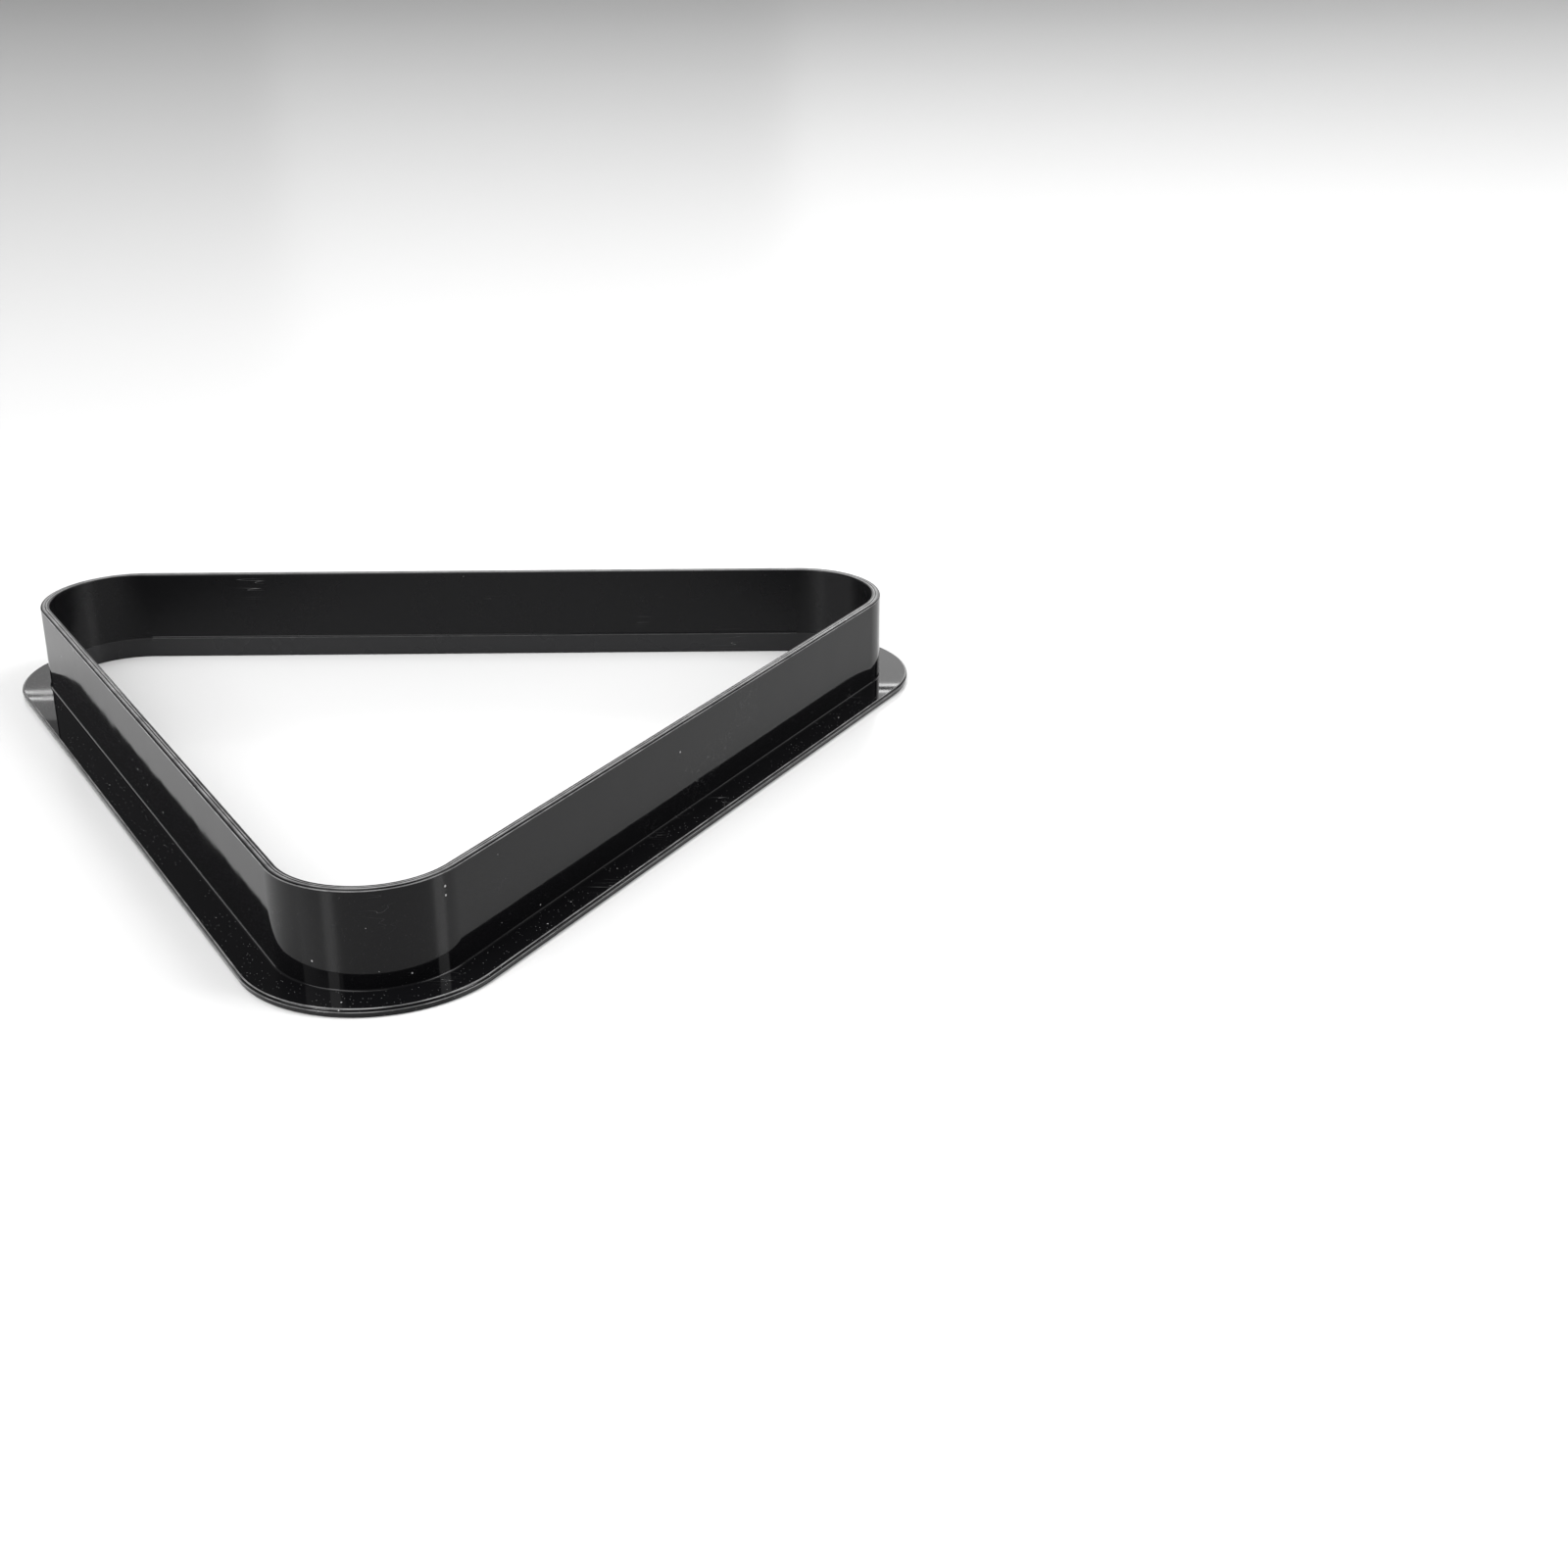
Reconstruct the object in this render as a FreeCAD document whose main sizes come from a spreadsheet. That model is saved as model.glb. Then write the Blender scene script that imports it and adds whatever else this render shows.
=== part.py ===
import FreeCAD, Part
import math
import os

import Sketcher

# Triangle rack for a pack of fifteen balls: one plastic moulding, built in twelve sections.
#
# Frame: millimetres, +Z up, Z = 0 on the table, the apex corner towards -Y and the straight back
# wall towards +Y. The origin is the middle of the footprint's bounding box.
#
# The rack is an upright wall round a rounded equilateral triangle, with a flat flange round the
# outside of its foot. The three corner centres are the corners of the triangle that the sizes
# start from. A straight section is a profile padded from one corner centre to the next, and a
# corner section is the same profile revolved about a corner centre, so neighbours meet face to
# face. In every profile X is the reach outwards from the line of corner centres and Y is height.

SIZES = (
    # alias, value, what it is
    ("corner_spacing", 238.4, "from one corner centre to the next"),
    ("rim_radius", 26.1, "inside of the wall at the rim, from a corner centre"),
    ("waist_radius", 25.95, "inside of the wall at its narrowest, where the mould halves part"),
    ("foot_radius", 27.1, "inside of the wall at the foot"),
    ("wall_radius", 29.2, "outside of the wall"),
    ("flange_radius", 39.2, "outer edge of the flange"),
    ("rack_height", 31.8, "table to rim"),
    ("waist_height", 7.8, "table to the narrowest line inside the wall"),
    ("flange_thickness", 2.5, "flange"),
    ("flange_round", 0.9, "rounding of the flange's upper outer edge"),
    ("flange_heel", 0.3, "rounding of the flange's lower outer edge"),
    ("foot_fillet", 0.5, "fillet between the wall and the top of the flange"),
    ("rim_round", 0.6, "rounding of the rim's outer edge"),
    ("lip_round", 0.4, "rounding of the rim's inner edge"),
)

CORNER_TURN = 120.0  # degrees that each corner turns through

# Direction from the middle of the triangle to each side's wall and to each corner, in degrees.
SIDES = {"back": 90.0, "left": 210.0, "right": 330.0}
CORNERS = {"front": 270.0, "left": 150.0, "right": 30.0}


def make_sizes(doc):
    """Spreadsheet with the driving sizes, one alias to a row."""
    sheet = doc.addObject("Spreadsheet::Sheet", "sizes")
    for row, (alias, value, meaning) in enumerate(SIZES, start=1):
        sheet.set(f"A{row}", alias)
        sheet.set(f"B{row}", str(value))
        sheet.set(f"C{row}", meaning)
        sheet.setAlias(f"B{row}", alias)
    doc.recompute()
    return sheet


def origin_plane(body, role):
    """The plane of the body's own origin with this role."""
    for feature in body.Origin.OriginFeatures:
        if feature.Role == role:
            return feature
    raise ValueError(f"no {role} in {body.Label}")


def arc_between(start, end, centre):
    """Short arc from start to end about centre, and whether it runs anticlockwise."""
    radius = (start - centre).Length
    circle = Part.Circle(centre, FreeCAD.Vector(0, 0, 1), radius)
    from_angle = math.atan2(start.y - centre.y, start.x - centre.x)
    to_angle = math.atan2(end.y - centre.y, end.x - centre.x)
    anticlockwise = (start - centre).cross(end - centre).z > 0
    if not anticlockwise:
        from_angle, to_angle = to_angle, from_angle
    if to_angle < from_angle:
        to_angle += 2 * math.pi
    return Part.ArcOfCircle(circle, from_angle, to_angle), anticlockwise


def bind_coordinate(sketch, kind, geometry, end, expression):
    """Tie one coordinate of a point to an expression of the sheet, or put the point on the X axis."""
    if expression == "0":
        sketch.addConstraint(Sketcher.Constraint("PointOnObject", geometry, end, -1))
        return
    value = float(sketch.evalExpression(expression))
    index = sketch.addConstraint(Sketcher.Constraint(kind, -1, 1, geometry, end, value))
    sketch.setExpression(f"Constraints[{index}]", expression)


def draw_outline(body, name, outline):
    """Closed sketch in the body's XZ plane. An outline point is (x, y), or (x, y, radius, centre_x,
    centre_y) where an arc about that centre leads from the point before it. All are expressions."""
    sketch = body.newObject("Sketcher::SketchObject", name)
    sketch.AttachmentSupport = [(origin_plane(body, "XZ_Plane"), "")]
    sketch.MapMode = "FlatFace"

    def vector(x_expression, y_expression):
        x_value = float(sketch.evalExpression(x_expression))
        y_value = float(sketch.evalExpression(y_expression))
        return FreeCAD.Vector(x_value, y_value, 0)

    points = [vector(point[0], point[1]) for point in outline]
    ends = []
    for index, point in enumerate(outline):
        previous = points[index - 1]
        if len(point) == 2:
            sketch.addGeometry(Part.LineSegment(previous, points[index]), False)
            ends.append((1, 2))
        else:
            arc, anticlockwise = arc_between(previous, points[index], vector(point[3], point[4]))
            sketch.addGeometry(arc, False)
            ends.append((1, 2) if anticlockwise else (2, 1))
    for index, (start, _) in enumerate(ends):
        before = (index - 1) % len(ends)
        sketch.addConstraint(Sketcher.Constraint("Coincident", before, ends[before][1], index, start))
    for index, point in enumerate(outline):
        if len(point) > 2:
            radius = float(sketch.evalExpression(point[2]))
            constraint = sketch.addConstraint(Sketcher.Constraint("Radius", index, radius))
            sketch.setExpression(f"Constraints[{constraint}]", point[2])
        bind_coordinate(sketch, "DistanceX", index, ends[index][1], point[0])
        bind_coordinate(sketch, "DistanceY", index, ends[index][1], point[1])
    return sketch


def wall_outline():
    """Wall: the inside leans out a little to the rim and more to the foot from the waist line."""
    wall = "sizes.wall_radius"
    rim = "sizes.rim_radius"
    top = "sizes.rack_height"
    flange = "sizes.flange_thickness"
    fillet = "sizes.foot_fillet"
    edge = "sizes.rim_round"
    lip = "sizes.lip_round"
    return (
        ("sizes.foot_radius", "0"),
        (wall, "0"),
        (wall, flange),
        (f"{wall} + {fillet}", flange),
        (wall, f"{flange} + {fillet}", fillet, f"{wall} + {fillet}", f"{flange} + {fillet}"),
        (wall, f"{top} - {edge}"),
        (f"{wall} - {edge}", top, edge, f"{wall} - {edge}", f"{top} - {edge}"),
        (f"{rim} + {lip}", top),
        (rim, f"{top} - {lip}", lip, f"{rim} + {lip}", f"{top} - {lip}"),
        ("sizes.waist_radius", "sizes.waist_height"),
    )


def flange_outline():
    """Flange: a flat lip with both of its outer edges rounded."""
    wall = "sizes.wall_radius"
    edge = "sizes.flange_radius"
    top = "sizes.flange_thickness"
    rounding = "sizes.flange_round"
    heel = "sizes.flange_heel"
    return (
        (wall, "0"),
        (f"{edge} - {heel}", "0"),
        (edge, heel, heel, f"{edge} - {heel}", heel),
        (edge, f"{top} - {rounding}"),
        (f"{edge} - {rounding}", top, rounding, f"{edge} - {rounding}", f"{top} - {rounding}"),
        (wall, top),
    )


def place(body, direction, distance):
    """Turn the profile's outward side to the direction and move it that far from the middle."""
    shift = "sizes.corner_spacing / (4 * sqrt(3))"
    turn = FreeCAD.Rotation(FreeCAD.Vector(0, 0, 1), direction)
    body.Placement = FreeCAD.Placement(FreeCAD.Vector(0, 0, 0), turn)
    body.setExpression(".Placement.Base.x", f"{distance} * cos({direction} deg) * 1 mm")
    body.setExpression(".Placement.Base.y", f"({distance} * sin({direction} deg) + {shift}) * 1 mm")


def straight_section(doc, node, outline, direction):
    """Profile padded along one side of the triangle of corner centres."""
    body = doc.addObject("PartDesign::Body", node)
    body.Label = node
    sketch = draw_outline(body, f"{node}_profile", outline)
    pad = body.newObject("PartDesign::Pad", f"{node}_pad")
    pad.Profile = sketch
    pad.SideType = "Symmetric"
    pad.setExpression("Length", "sizes.corner_spacing * 1 mm")
    place(body, direction, "sizes.corner_spacing / (2 * sqrt(3))")
    return body


def corner_section(doc, node, outline, direction):
    """Profile revolved about one corner centre."""
    body = doc.addObject("PartDesign::Body", node)
    body.Label = node
    sketch = draw_outline(body, f"{node}_profile", outline)
    revolution = body.newObject("PartDesign::Revolution", f"{node}_revolution")
    revolution.Profile = sketch
    revolution.ReferenceAxis = (sketch, ["V_Axis"])
    revolution.Angle = CORNER_TURN
    revolution.Midplane = True
    place(body, direction, "sizes.corner_spacing / sqrt(3)")
    return body


def check(doc, bodies):
    """Stop if an object failed to recompute or a section isn't one valid solid."""
    for item in doc.Objects:
        if "Invalid" in item.State or "Error" in item.State:
            raise RuntimeError(f"{item.Name} failed: {item.State}")
        if item.TypeId == "Sketcher::SketchObject" and item.solve() != 0:
            raise RuntimeError(f"{item.Name} does not solve")
    for body in bodies:
        shape = body.Shape
        if shape.isNull() or not shape.isValid() or len(shape.Solids) != 1:
            raise RuntimeError(f"{body.Label} is not one valid solid")


def write(bodies):
    """One STEP file for each section."""
    os.makedirs("parts", exist_ok=True)
    for body in bodies:
        body.Shape.exportStep(f"parts/{body.Label}.step")
        print(f"{body.Label}: {body.Shape.Volume / 1000:.2f} cm3")


def main():
    doc = FreeCAD.newDocument("triangle_rack")
    make_sizes(doc)
    bodies = []
    for side, direction in SIDES.items():
        bodies.append(straight_section(doc, f"rail_{side}", wall_outline(), direction))
        bodies.append(straight_section(doc, f"flange_{side}", flange_outline(), direction))
    for corner, direction in CORNERS.items():
        bodies.append(corner_section(doc, f"corner_{corner}", wall_outline(), direction))
        bodies.append(corner_section(doc, f"flange_corner_{corner}", flange_outline(), direction))
    doc.recompute()
    check(doc, bodies)
    write(bodies)


main()
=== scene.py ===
import math

import bpy
from mathutils import Matrix, Vector


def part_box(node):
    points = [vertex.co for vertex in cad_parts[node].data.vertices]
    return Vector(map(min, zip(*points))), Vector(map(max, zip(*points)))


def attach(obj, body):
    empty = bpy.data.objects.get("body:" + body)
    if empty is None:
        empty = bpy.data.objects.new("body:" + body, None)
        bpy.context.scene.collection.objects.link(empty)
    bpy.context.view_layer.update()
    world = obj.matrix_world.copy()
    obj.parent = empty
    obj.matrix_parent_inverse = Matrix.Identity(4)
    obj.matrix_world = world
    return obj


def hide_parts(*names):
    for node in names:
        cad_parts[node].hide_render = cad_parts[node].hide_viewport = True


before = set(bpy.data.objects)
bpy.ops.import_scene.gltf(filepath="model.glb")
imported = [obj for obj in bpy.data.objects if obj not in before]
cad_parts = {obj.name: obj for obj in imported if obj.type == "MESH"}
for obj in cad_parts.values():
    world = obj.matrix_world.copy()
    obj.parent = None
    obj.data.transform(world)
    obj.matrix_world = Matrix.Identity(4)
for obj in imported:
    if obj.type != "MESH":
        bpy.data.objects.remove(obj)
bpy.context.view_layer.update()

# Looks of a black plastic triangle rack. The moulding's twelve sections are swept here with the
# fine edges, ridges and fillets of the real moulding. Metres, in the CAD frame throughout.

MM = 0.001
UP = Vector((0, 0, 1))


# ---------------------------------------------------------------- sizes, from the frame
def width_of(node, axis):
    low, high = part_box(node)
    return (high - low)[axis]


rail_low, rail_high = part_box("rail_back")
flange_low, flange_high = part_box("flange_back")
SPACING = width_of("rail_back", 0)                  # from one corner centre to the next
HEIGHT = rail_high.z                                # table to rim
FLANGE_THICK = flange_high.z
SIDE_REACH = SPACING / (2 * math.sqrt(3))           # middle of the triangle to a side's centre line
CORNER_REACH = SPACING / math.sqrt(3)               # middle of the triangle to a corner centre
MIDDLE_Y = SPACING / (4 * math.sqrt(3))             # middle of the triangle in the frame
CENTRE_LINE = MIDDLE_Y + SIDE_REACH                 # back corner centres
FILLET = rail_high.y - flange_low.y                 # the wall's foot fillet stands on the flange
WALL = flange_low.y - CENTRE_LINE                   # outside of the wall, from the centre line
EDGE = flange_high.y - CENTRE_LINE                  # outer edge of the flange
RIM = WALL - 3.1 * MM                               # inside of the wall at the rim
WAIST = RIM - 0.15 * MM                             # narrowest line inside the wall
WAIST_Z = 7.8 * MM
FOOT = rail_low.y - CENTRE_LINE + 1.15 * MM         # inside of the wall at the table

# fine detail of the rim
SHOULDER = 0.6 * MM                                 # rounding of the rim's outer edge
LIP = 0.4 * MM                                      # rounding of the rim's inner edge
GROOVE_DEPTH = 0.12 * MM                            # fine groove along the flat of the rim
GROOVE_WIDTH = 0.36 * MM
GROOVE_REACH = 27.54 * MM
RUB_AND_HIGHLIGHT_OUT = 0.95 * MM                                 # the band rubbed grey and painted with highlight lines starts this far into the rim
RUB_AND_HIGHLIGHT_IN = 0.4 * MM                                   # and goes on this far inside the groove

# fine detail of the inside waist line
WAIST_RISE = 0.18 * MM                              # ridge along the line, on the straight sides
WAIST_RISE_CORNER = 0.02 * MM                       # and round the corners
WAIST_HALF = 0.35 * MM                              # half the height that the ridge covers
UNDERCUT = 0.03 * MM                                # lean of the strip below the ridge, rubbed grey and painted as a highlight line
UNDERCUT_DROP = 0.2 * MM
FULL_WEAR_AND_HIGHLIGHT_RISE = 0.6 * MM                          # a ridge this high would get the full grey of rubbing and painted highlight

# fine detail of the flange's edge
HEEL = 0.3 * MM                                     # rounding of the flange's lower edge
PARTING_Z = 1.6 * MM                                # widest line round the flange's edge
PARTING_RISE = 0.06 * MM
PARTING_HALF = 0.14 * MM
DRAFT_BELOW = 0.22 * MM                             # the edge leans in this far below that line

SIDES = {"back": 90.0, "left": 210.0, "right": 330.0}
CORNERS = {"front": 270.0, "left": 150.0, "right": 30.0}
CORNER_TURN = 120.0
SIDE_STATIONS = 24
CORNER_STATIONS = 60


# ---------------------------------------------------------------- outlines
class Outline:
    """Closed loop of (reach, height) edges walked with the solid on the left. Each edge is (point,
    next point, normal, next normal, looks): how worn with painted highlight, satin, and pale with
    painted reflection."""

    def __init__(self, start):
        self.at = Vector(start)
        self.edges = []
        self.satin = 0.0
        self.painted_reflection = 0.0

    def add(self, a, b, a_normal, b_normal, wear_and_highlight):
        self.edges.append((a, b, a_normal, b_normal, (wear_and_highlight, self.satin, self.painted_reflection)))

    def line_to(self, end, steps=1, wear_and_highlight=0.0):
        start, end = self.at, Vector(end)
        along = (end - start).normalized()
        normal = Vector((along.y, -along.x))
        for step in range(steps):
            a = start.lerp(end, step / steps)
            b = start.lerp(end, (step + 1) / steps)
            self.add(a, b, normal, normal, wear_and_highlight)
        self.at = end

    def arc_to(self, end, centre, steps=10, wear_and_highlight=None):
        """Arc to end about centre. Wear with its painted highlight is a function of the share of
        the arc walked so far.
        """
        end, centre = Vector(end), Vector(centre)
        first, last = self.at - centre, end - centre
        turn = first.angle_signed(last)             # positive is clockwise in mathutils
        sign = 1.0 if turn < 0 else -1.0            # convex where the walk turns anticlockwise
        spots = [Matrix.Rotation(-turn * step / steps, 2) @ first for step in range(steps + 1)]
        for step, (a, b) in enumerate(zip(spots, spots[1:])):
            wear_and_highlight_here = wear_and_highlight((step + 0.5) / steps) if wear_and_highlight else 0.0
            self.add(centre + a, centre + b, a.normalized() * sign, b.normalized() * sign, wear_and_highlight_here)
        self.at = end

    def bead_to(self, end, rise, steps=16, wear_and_highlight=0.0):
        """Straight to end, with one smooth ridge over it, or a groove where rise is negative."""
        start, end = self.at, Vector(end)
        length = (end - start).length
        along = (end - start).normalized()
        out = Vector((along.y, -along.x))
        marks = []
        for step in range(steps + 1):
            share = step / steps
            lift = rise * (0.5 - 0.5 * math.cos(2 * math.pi * share))
            slope = rise * math.pi * math.sin(2 * math.pi * share) / length
            marks.append((start.lerp(end, share) + out * lift, (out - along * slope).normalized()))
        for (a, a_normal), (b, b_normal) in zip(marks, marks[1:]):
            self.add(a, b, a_normal, b_normal, wear_and_highlight)
        self.at = end


def wall_outline(waist_rise):
    """Wall: up its outside from the table, over the rim, and down its inside past the waist."""
    shape = Outline((FOOT, 0))
    shape.line_to((WALL, 0), 4)
    shape.line_to((WALL, FLANGE_THICK), 2)
    shape.line_to((WALL + FILLET, FLANGE_THICK))
    shape.arc_to((WALL, FLANGE_THICK + FILLET), (WALL + FILLET, FLANGE_THICK + FILLET))
    shape.line_to((WALL, HEIGHT - SHOULDER), 14)
    # the grey along the shoulder and the flat of the rim is partly rubbing, partly painted
    # highlight lines
    shape.arc_to(
        (WALL - SHOULDER, HEIGHT), (WALL - SHOULDER, HEIGHT - SHOULDER), 18,
        wear_and_highlight=lambda share: 0.8 if 0.1 < share < 0.42 else 0.0,
    )
    groove_out = GROOVE_REACH + GROOVE_WIDTH / 2
    groove_in = GROOVE_REACH - GROOVE_WIDTH / 2
    shape.line_to((WALL - RUB_AND_HIGHLIGHT_OUT, HEIGHT), wear_and_highlight=0.2)
    shape.line_to((groove_out, HEIGHT), wear_and_highlight=0.9)
    shape.bead_to((groove_in, HEIGHT), -GROOVE_DEPTH)
    shape.line_to((groove_in - RUB_AND_HIGHLIGHT_IN, HEIGHT), wear_and_highlight=0.9)
    shape.line_to((RIM + LIP, HEIGHT), wear_and_highlight=0.1)
    shape.satin = 1.0
    shape.arc_to((RIM, HEIGHT - LIP), (RIM + LIP, HEIGHT - LIP), 10)
    lean = (RIM - WAIST) / (HEIGHT - LIP - WAIST_Z)
    shape.line_to((WAIST + lean * WAIST_HALF, WAIST_Z + WAIST_HALF), 12)
    shape.satin = 0.1
    shape.bead_to((WAIST, WAIST_Z - WAIST_HALF), waist_rise)
    shape.satin = 1.0
    # below the ridge the black is paler all the way down: painted reflection of the bright floor
    shape.painted_reflection = 1.0
    # a thin line under the ridge, rubbed grey and painted as a highlight line
    shape.line_to(
        (WAIST + UNDERCUT, WAIST_Z - WAIST_HALF - UNDERCUT_DROP), wear_and_highlight=waist_rise / FULL_WEAR_AND_HIGHLIGHT_RISE
    )
    shape.line_to((FOOT, 0), 5)
    return shape.edges


def flange_outline():
    """Flange: out along its underside, round the heel, over the parting ridge and back in."""
    shape = Outline((WALL, 0))
    side = EDGE - PARTING_RISE                      # the ridge reaches the full width
    low = PARTING_Z - PARTING_HALF
    high = PARTING_Z + PARTING_HALF
    top_round = FLANGE_THICK - high
    heel_edge = side - DRAFT_BELOW
    shape.line_to((heel_edge - HEEL, 0), 6)
    shape.arc_to((heel_edge, HEEL), (heel_edge - HEEL, HEEL), 8)
    shape.line_to((side, low), 3)
    # the grey on the parting ridge and on the top of the rounded edge is partly rubbing, partly
    # painted highlight lines
    shape.bead_to((side, high), PARTING_RISE, 12, wear_and_highlight=0.9)
    shape.arc_to(
        (side - top_round, FLANGE_THICK), (side - top_round, high), 14,
        wear_and_highlight=lambda share: 0.9 if share > 0.66 else 0.0,
    )
    shape.line_to((WALL, FLANGE_THICK), 8)
    shape.line_to((WALL, 0), 2)
    return shape.edges


# ---------------------------------------------------------------- sweeping
def heading(degrees):
    """Level unit vector, at that angle from +X."""
    return Vector((math.cos(math.radians(degrees)), math.sin(math.radians(degrees)), 0))


def straight_stations(direction, count):
    """Places for the outline along one side, each as (origin, outward direction)."""
    outward = heading(direction)
    along = Vector((-outward.y, outward.x, 0))
    middle = Vector((0, MIDDLE_Y, 0)) + outward * SIDE_REACH
    return [(middle + along * SPACING * (i / count - 0.5), outward) for i in range(count + 1)]


def corner_stations(direction, count):
    """Places for the outline round one corner, each as (origin, outward direction)."""
    centre = Vector((0, MIDDLE_Y, 0)) + CORNER_REACH * heading(direction)
    turns = [CORNER_TURN * (i / count - 0.5) for i in range(count + 1)]
    return [(centre, heading(direction + turn)) for turn in turns]


def sweep(name, edges, stations):
    """Closed mesh of an outline carried through the stations, with exact normals."""
    count = len(edges)
    verts, faces, normals, looks = [], [], [], []
    for origin, outward in stations:
        for start, *_ in edges:
            verts.append(origin + outward * start.x + UP * start.y)
    for s in range(len(stations) - 1):
        here, there = stations[s][1], stations[s + 1][1]
        for k, (_, _, start, end, look) in enumerate(edges):
            j = (k + 1) % count
            faces.append((s * count + k, (s + 1) * count + k, (s + 1) * count + j, s * count + j))
            normals.append(here * start.x + UP * start.y)
            normals.append(there * start.x + UP * start.y)
            normals.append(there * end.x + UP * end.y)
            normals.append(here * end.x + UP * end.y)
            looks.extend([look] * 4)
    faces.append(tuple(range(count)))
    faces.append(tuple(reversed(range((len(stations) - 1) * count, len(stations) * count))))
    mesh = bpy.data.meshes.new(name)
    mesh.from_pydata(verts, [], faces)
    mesh.update()
    for cap in (mesh.polygons[-2], mesh.polygons[-1]):
        for _ in cap.loop_indices:
            normals.append(cap.normal.copy())
            looks.append((0.0, 0.0, 0.0))
    mesh.polygons.foreach_set("use_smooth", [True] * len(mesh.polygons))
    mesh.normals_split_custom_set([tuple(n.normalized()) for n in normals])
    for index, key in enumerate(("wear_and_highlight", "satin", "painted_reflection")):
        attribute = mesh.attributes.new(key, "FLOAT", "CORNER")
        attribute.data.foreach_set("value", [look[index] for look in looks])
    piece = bpy.data.objects.new(name, mesh)
    bpy.context.scene.collection.objects.link(piece)
    return piece


# ---------------------------------------------------------------- material
BLACK = (0.0036, 0.0036, 0.0041, 1.0)               # the plastic itself
PAINTED_REFLECTION_BLACK = (0.0170, 0.0170, 0.0180, 1.0)          # painted reflection: paler black inside, under the waist line, for the bright floor it mirrors
MARK_AND_HIGHLIGHT_GREY = (0.38, 0.38, 0.38, 1.0)                 # dust, scratches, and rubbed edges that are partly painted highlight lines
PLASTIC_IOR = 1.27
WEAR_AND_HIGHLIGHT_SHARE = 0.62                                   # how far a fully rubbed edge turns grey, partly as painted highlight
FRONT_FROM, FRONT_TO = -0.06, -0.11                 # Y over which the front corner gets dustier


def node(tree, kind, **values):
    """Shader node with uniform values set straight on its sockets."""
    made = tree.nodes.new(kind)
    for key, value in values.items():
        made.inputs[key].default_value = value
    return made


def maths(tree, operation, a, b=None, clamp=False):
    made = tree.nodes.new("ShaderNodeMath")
    made.operation = operation
    made.use_clamp = clamp
    for socket, value in zip(made.inputs, (a, b)):
        if value is None:
            continue
        if isinstance(value, (int, float)):
            socket.default_value = value
        else:
            tree.links.new(value, socket)
    return made.outputs[0]


def ramp(tree, value, low, high, out_low=0.0, out_high=1.0):
    made = tree.nodes.new("ShaderNodeMapRange")
    made.interpolation_type = "SMOOTHSTEP"
    made.inputs["From Min"].default_value = low
    made.inputs["From Max"].default_value = high
    made.inputs["To Min"].default_value = out_low
    made.inputs["To Max"].default_value = out_high
    tree.links.new(value, made.inputs["Value"])
    return made.outputs["Result"]


def mix(tree, factor, a, b):
    """Colour between a and b. Each of them is a fixed colour or a socket."""
    made = tree.nodes.new("ShaderNodeMix")
    made.data_type = "RGBA"
    tree.links.new(factor, made.inputs["Factor"])
    for key, value in (("A", a), ("B", b)):
        if isinstance(value, tuple):
            made.inputs[key].default_value = value
        else:
            tree.links.new(value, made.inputs[key])
    return made.outputs["Result"]


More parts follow.
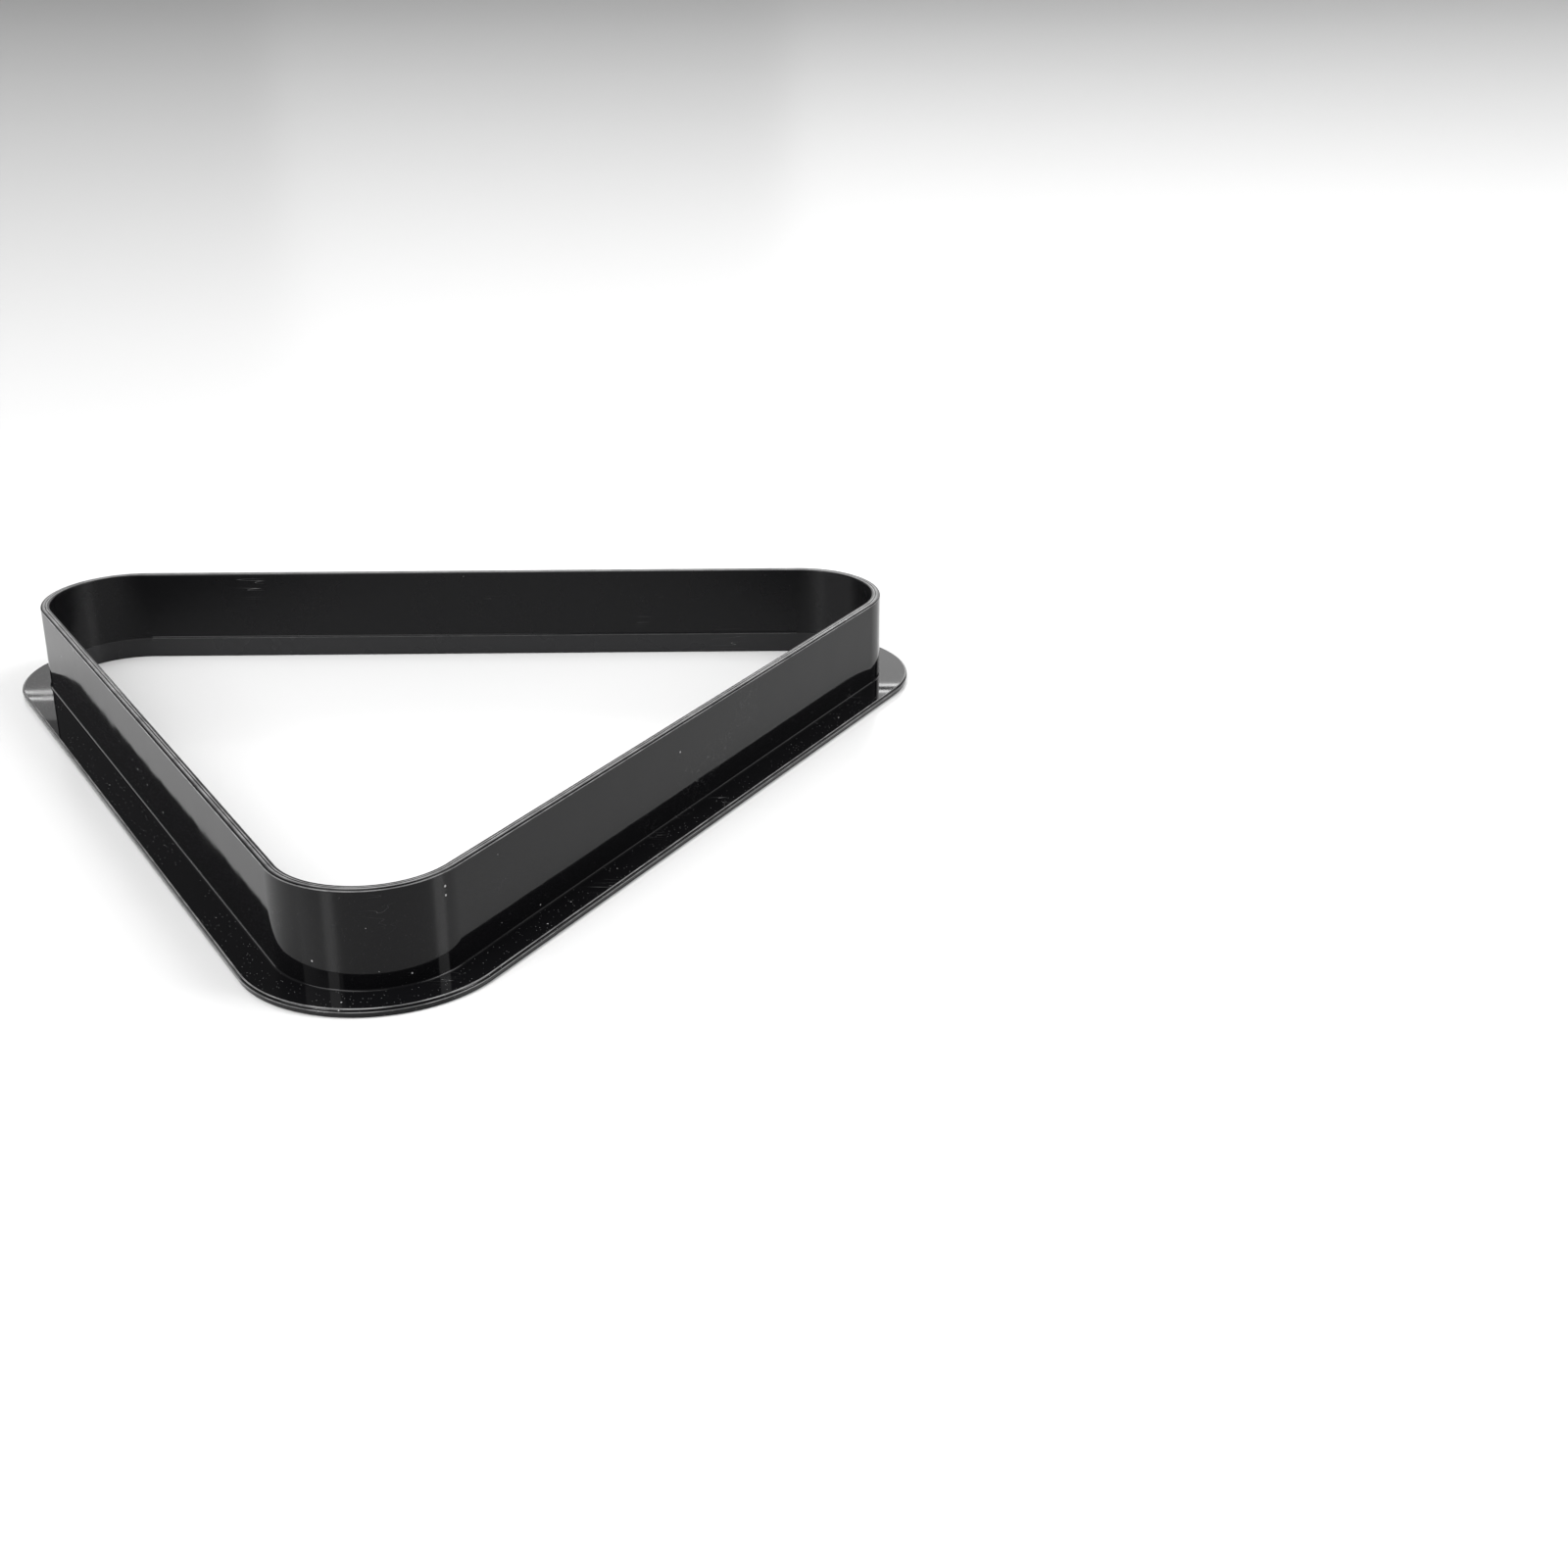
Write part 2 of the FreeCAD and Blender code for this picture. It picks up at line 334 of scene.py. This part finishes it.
def plastic(name, gloss, smudges, waves, grains, dust, scratches):
    """Black injection-moulded plastic: gloss with faint waves, dust, hair scratches, worn edges
    partly painted as highlights, a painted reflection.
    """
    material = bpy.data.materials.new(name)
    material.use_nodes = True
    tree = material.node_tree
    shader = tree.nodes["Principled BSDF"]
    place = tree.nodes.new("ShaderNodeTexCoord").outputs["Object"]

    def noise(scale, detail, rough=0.5, vector=place):
        made = node(tree, "ShaderNodeTexNoise", Scale=scale, Detail=detail, Roughness=rough)
        tree.links.new(vector, made.inputs["Vector"])
        return made.outputs["Fac"]

    def cells(scale):
        made = node(tree, "ShaderNodeTexVoronoi", Scale=scale)
        tree.links.new(place, made.inputs["Vector"])
        return made.outputs

    def attribute(key):
        made = tree.nodes.new("ShaderNodeAttribute")
        made.attribute_name = key
        return made.outputs["Fac"]

    # dust: small pale flecks, gathered in patches, more of them round the front corner
    apart = tree.nodes.new("ShaderNodeSeparateXYZ")
    tree.links.new(place, apart.inputs["Vector"])
    near_front = ramp(tree, apart.outputs["Y"], FRONT_FROM, FRONT_TO, 0.0, 0.12 * dust)
    patch = maths(tree, "ADD", noise(28.0, 2.0), near_front)
    kept = maths(tree, "GREATER_THAN", patch, 0.66 - 0.2 * dust)
    fleck = cells(230.0)
    growth = maths(tree, "MULTIPLY", fleck["Color"], 0.10)
    flecks = ramp(tree, maths(tree, "ADD", fleck["Distance"], growth), 0.105, 0.060)
    fine_flecks = ramp(tree, cells(900.0)["Distance"], 0.12, 0.06, 0.0, 0.5 * dust * dust)
    dusty = maths(tree, "MULTIPLY", maths(tree, "ADD", flecks, fine_flecks, clamp=True), kept)

    # hair scratches: thin level lines of a stretched noise
    stretch = node(tree, "ShaderNodeMapping", Rotation=(0.35, 0.2, 0.55), Scale=(0.08, 1.0, 1.0))
    tree.links.new(place, stretch.inputs["Vector"])
    lines = noise(420.0, 1.0, vector=stretch.outputs["Vector"])
    level = maths(tree, "ABSOLUTE", maths(tree, "SUBTRACT", lines, 0.5))
    scratch_patch = ramp(tree, noise(35.0, 1.0), 0.60, 0.72)
    hairs = ramp(tree, level, 0.006, 0.0, 0.0, scratches)
    scratched = maths(tree, "MULTIPLY", hairs, scratch_patch)

    # worn edges, rubbed paler and partly painted as highlight lines, along their whole length but
    # unevenly
    uneven = ramp(tree, noise(140.0, 3.0, 0.6), 0.30, 0.70, 0.45, 1.0)
    rubbed_and_highlit = maths(tree, "MULTIPLY", attribute("wear_and_highlight"), uneven)

    marks = maths(tree, "ADD", dusty, maths(tree, "MULTIPLY", scratched, 0.5), clamp=True)
    marks_and_highlight_grey = maths(tree, "MAXIMUM", marks, maths(tree, "MULTIPLY", rubbed_and_highlit, WEAR_AND_HIGHLIGHT_SHARE))
    # painted reflection: a paler black under the waist for the bright floor the strip mirrors
    ground_with_painted_reflection = mix(tree, attribute("painted_reflection"), BLACK, PAINTED_REFLECTION_BLACK)
    tree.links.new(mix(tree, marks_and_highlight_grey, ground_with_painted_reflection, MARK_AND_HIGHLIGHT_GREY), shader.inputs["Base Color"])

    rough = ramp(tree, noise(45.0, 3.0), 0.35, 0.75, -0.5 * smudges, smudges)
    rough = maths(tree, "ADD", rough, gloss)
    rough = maths(tree, "ADD", rough, maths(tree, "MULTIPLY", attribute("satin"), 0.22))
    rough = maths(tree, "ADD", rough, maths(tree, "MULTIPLY", rubbed_and_highlit, 0.10))
    rough = maths(tree, "ADD", rough, maths(tree, "MULTIPLY", marks, 0.5), clamp=True)
    tree.links.new(rough, shader.inputs["Roughness"])

    # surface: slow waviness of the moulding and a very fine grain
    wave = node(tree, "ShaderNodeBump", Strength=1.0, Distance=waves * MM)
    tree.links.new(noise(55.0, 1.0), wave.inputs["Height"])
    grain = node(tree, "ShaderNodeBump", Strength=grains, Distance=0.006 * MM)
    tree.links.new(noise(1500.0, 3.0), grain.inputs["Height"])
    tree.links.new(wave.outputs["Normal"], grain.inputs["Normal"])
    tree.links.new(grain.outputs["Normal"], shader.inputs["Normal"])
    shader.inputs["IOR"].default_value = PLASTIC_IOR
    return material


wall_plastic = plastic(
    "black_plastic_wall",
    gloss=0.06, smudges=0.03, waves=0.06, grains=0.1, dust=0.35, scratches=0.4,
)
flange_plastic = plastic(
    "black_plastic_flange",
    gloss=0.02, smudges=0.01, waves=0.002, grains=0.01, dust=1.0, scratches=0.8,
)


# ---------------------------------------------------------------- pieces
def add_piece(node_name, outline, stations, material):
    """Section of the moulding that stands in for the node of that name."""
    piece = sweep(f"{node_name}_shell", outline, stations)
    piece.data.materials.append(material)
    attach(piece, "root")
    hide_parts(node_name)


for side, direction in SIDES.items():
    stations = straight_stations(direction, SIDE_STATIONS)
    add_piece(f"rail_{side}", wall_outline(WAIST_RISE), stations, wall_plastic)
    add_piece(f"flange_{side}", flange_outline(), stations, flange_plastic)
for corner, direction in CORNERS.items():
    stations = corner_stations(direction, CORNER_STATIONS)
    add_piece(f"corner_{corner}", wall_outline(WAIST_RISE_CORNER), stations, wall_plastic)
    add_piece(f"flange_corner_{corner}", flange_outline(), stations, flange_plastic)


# ---------------------------------------------------------------- floor and backdrop
def staged_sheet(name, corners, colour, roughness, ior):
    mesh = bpy.data.meshes.new(name)
    mesh.from_pydata(corners, [], [(0, 1, 2, 3)])
    made = bpy.data.objects.new(name, mesh)
    bpy.context.scene.collection.objects.link(made)
    material = bpy.data.materials.new(f"{name}_finish")
    material.use_nodes = True
    shader = material.node_tree.nodes["Principled BSDF"]
    shader.inputs["Base Color"].default_value = (colour, colour, colour, 1.0)
    shader.inputs["Roughness"].default_value = roughness
    shader.inputs["IOR"].default_value = ior
    mesh.materials.append(material)


HALF = 14.0                                         # half the width of the floor
DROP = -0.0001                                      # the floor lies just under the rack
floor_corners = [(-HALF, -HALF, DROP), (HALF, -HALF, DROP), (HALF, HALF, DROP), (-HALF, HALF, DROP)]
staged_sheet("floor", floor_corners, 0.75, 0.25, 1.80)

# black cloth behind the pale cards, seen only as the dark line between them in the flange
CLOTH_X, CLOTH_Y, CLOTH_Z = 5, 6.05, 3.7
cloth_corners = [
    (-CLOTH_X, CLOTH_Y, 0), (CLOTH_X, CLOTH_Y, 0),
    (CLOTH_X, CLOTH_Y, CLOTH_Z), (-CLOTH_X, CLOTH_Y, CLOTH_Z),
]
staged_sheet("backdrop", cloth_corners, 0.002, 1.0, 1.0)


# ---------------------------------------------------------------- lights
def softbox(name, place, aim, width, height, radiance):
    """Rectangular area light at a place, facing aim, of even brightness."""
    light = bpy.data.lights.new(name, "AREA")
    light.shape = "RECTANGLE"
    light.size = width
    light.size_y = height
    light.energy = radiance * math.pi * width * height
    made = bpy.data.objects.new(name, light)
    made.location = place
    made.rotation_mode = "QUATERNION"
    made.rotation_quaternion = (Vector(place) - Vector(aim)).to_track_quat("Z", "Y")
    made.visible_camera = False
    bpy.context.scene.collection.objects.link(made)


def toward(azimuth, elevation, distance):
    """Point in that direction from the rack. Azimuth 0 is in front (-Y), positive towards +X."""
    az, el = math.radians(azimuth), math.radians(elevation)
    level = math.cos(el)
    return Vector((math.sin(az) * level, -math.cos(az) * level, math.sin(el))) * distance


world = bpy.data.worlds.new("studio")
bpy.context.scene.world = world
world.use_nodes = True
world.node_tree.nodes["Background"].inputs["Color"].default_value = (1.0, 1.0, 1.0, 1.0)
world.node_tree.nodes["Background"].inputs["Strength"].default_value = 0.32

CENTRE = (0, 0, 0)
SOFTBOXES = (
    # name, azimuth, elevation and distance from the rack, width, height, radiance
    ("key_left", -48, 46, 1.45, 1.1, 1.05, 4.5),
    ("top", -60, 76, 1.5, 0.7, 0.7, 5.0),
    ("fill_right", 95, 50, 1.6, 0.9, 0.8, 6.8),
    # their gleams in the floor stand in the front corner's wall as two upright lights
    ("strip_left", -36, 25, 2.0, 0.36, 0.45, 12.0),
    ("strip_right", 80, 25, 2.0, 0.42, 0.45, 13.0),
    # low beside the rack: the bright line along the rounded edges of its two sides
    ("edge_left", -124, 6, 2.4, 1.0, 0.34, 2.6),
    ("edge_right", 112, 7, 2.4, 0.8, 0.34, 2.6),
)
for name, azimuth, elevation, distance, width, height, radiance in SOFTBOXES:
    softbox(name, toward(azimuth, elevation, distance), CENTRE, width, height, radiance)

# back wall of pale cards, brighter to the right, with a thin dark gap between its two rows
BACK = 6.0                                          # Y of the cards
CARD_FOOT, CARD_HEAD, CARD_TOP = 0.5, 3.2, 3.6      # heights: foot, start of the fading top, top
GAP_Z, GAP = 2.285, 0.014                           # the dark gap's middle height and its width
TRIM, TRIM_RADIANCE = 0.008, 8.0                    # bright trims above and below it
CARDS = (
    # name, left and right ends, radiance, height where it dims and radiance above that
    ("a", -3.2, -1.3, 1.10, 2.37, 0.42),
    ("b", -1.3, 0.2, 1.45, 2.70, 1.20),
    ("c", 0.2, 3.5, 1.90, 3.00, 1.60),
)
for name, x_low, x_high, radiance, dim_z, dimmed in CARDS:
    rows = (
        ("low", CARD_FOOT, GAP_Z - GAP / 2 - TRIM, radiance),
        ("trim_low", GAP_Z - GAP / 2 - TRIM, GAP_Z - GAP / 2, TRIM_RADIANCE),
        ("trim_high", GAP_Z + GAP / 2, GAP_Z + GAP / 2 + TRIM, TRIM_RADIANCE),
        ("high", GAP_Z + GAP / 2 + TRIM, dim_z, radiance),
        ("dimmed", dim_z, CARD_HEAD, dimmed),
        ("top", CARD_HEAD, CARD_TOP, 0.5 * dimmed),
    )
    for row, z_low, z_high, strength in rows:
        middle = ((x_low + x_high) / 2, BACK, (z_low + z_high) / 2)
        aim = (middle[0], 0, middle[2])
        softbox(f"back_{row}_{name}", middle, aim, x_high - x_low, z_high - z_low, strength)

bpy.context.scene.view_settings.view_transform = "Standard"

# ---------------------------------------------------------------- camera
YAW, PITCH, ROLL = 0.0109, 0.4118, -0.0046          # radians: right of +Y, down, and about the view
camera_data = bpy.data.cameras.new("camera")
camera_data.sensor_width = 36.0
camera_data.lens = 50.034
camera_data.clip_start = 0.01
camera_data.clip_end = 60.0
camera = bpy.data.objects.new("camera", camera_data)
camera.location = (0.10582, -0.63458, 0.27989)
aimed = Matrix.Rotation(-YAW, 3, "Z") @ Matrix.Rotation(math.pi / 2 - PITCH, 3, "X")
camera.rotation_euler = (aimed @ Matrix.Rotation(ROLL, 3, "Z")).to_euler()
bpy.context.scene.collection.objects.link(camera)
bpy.context.scene.camera = camera
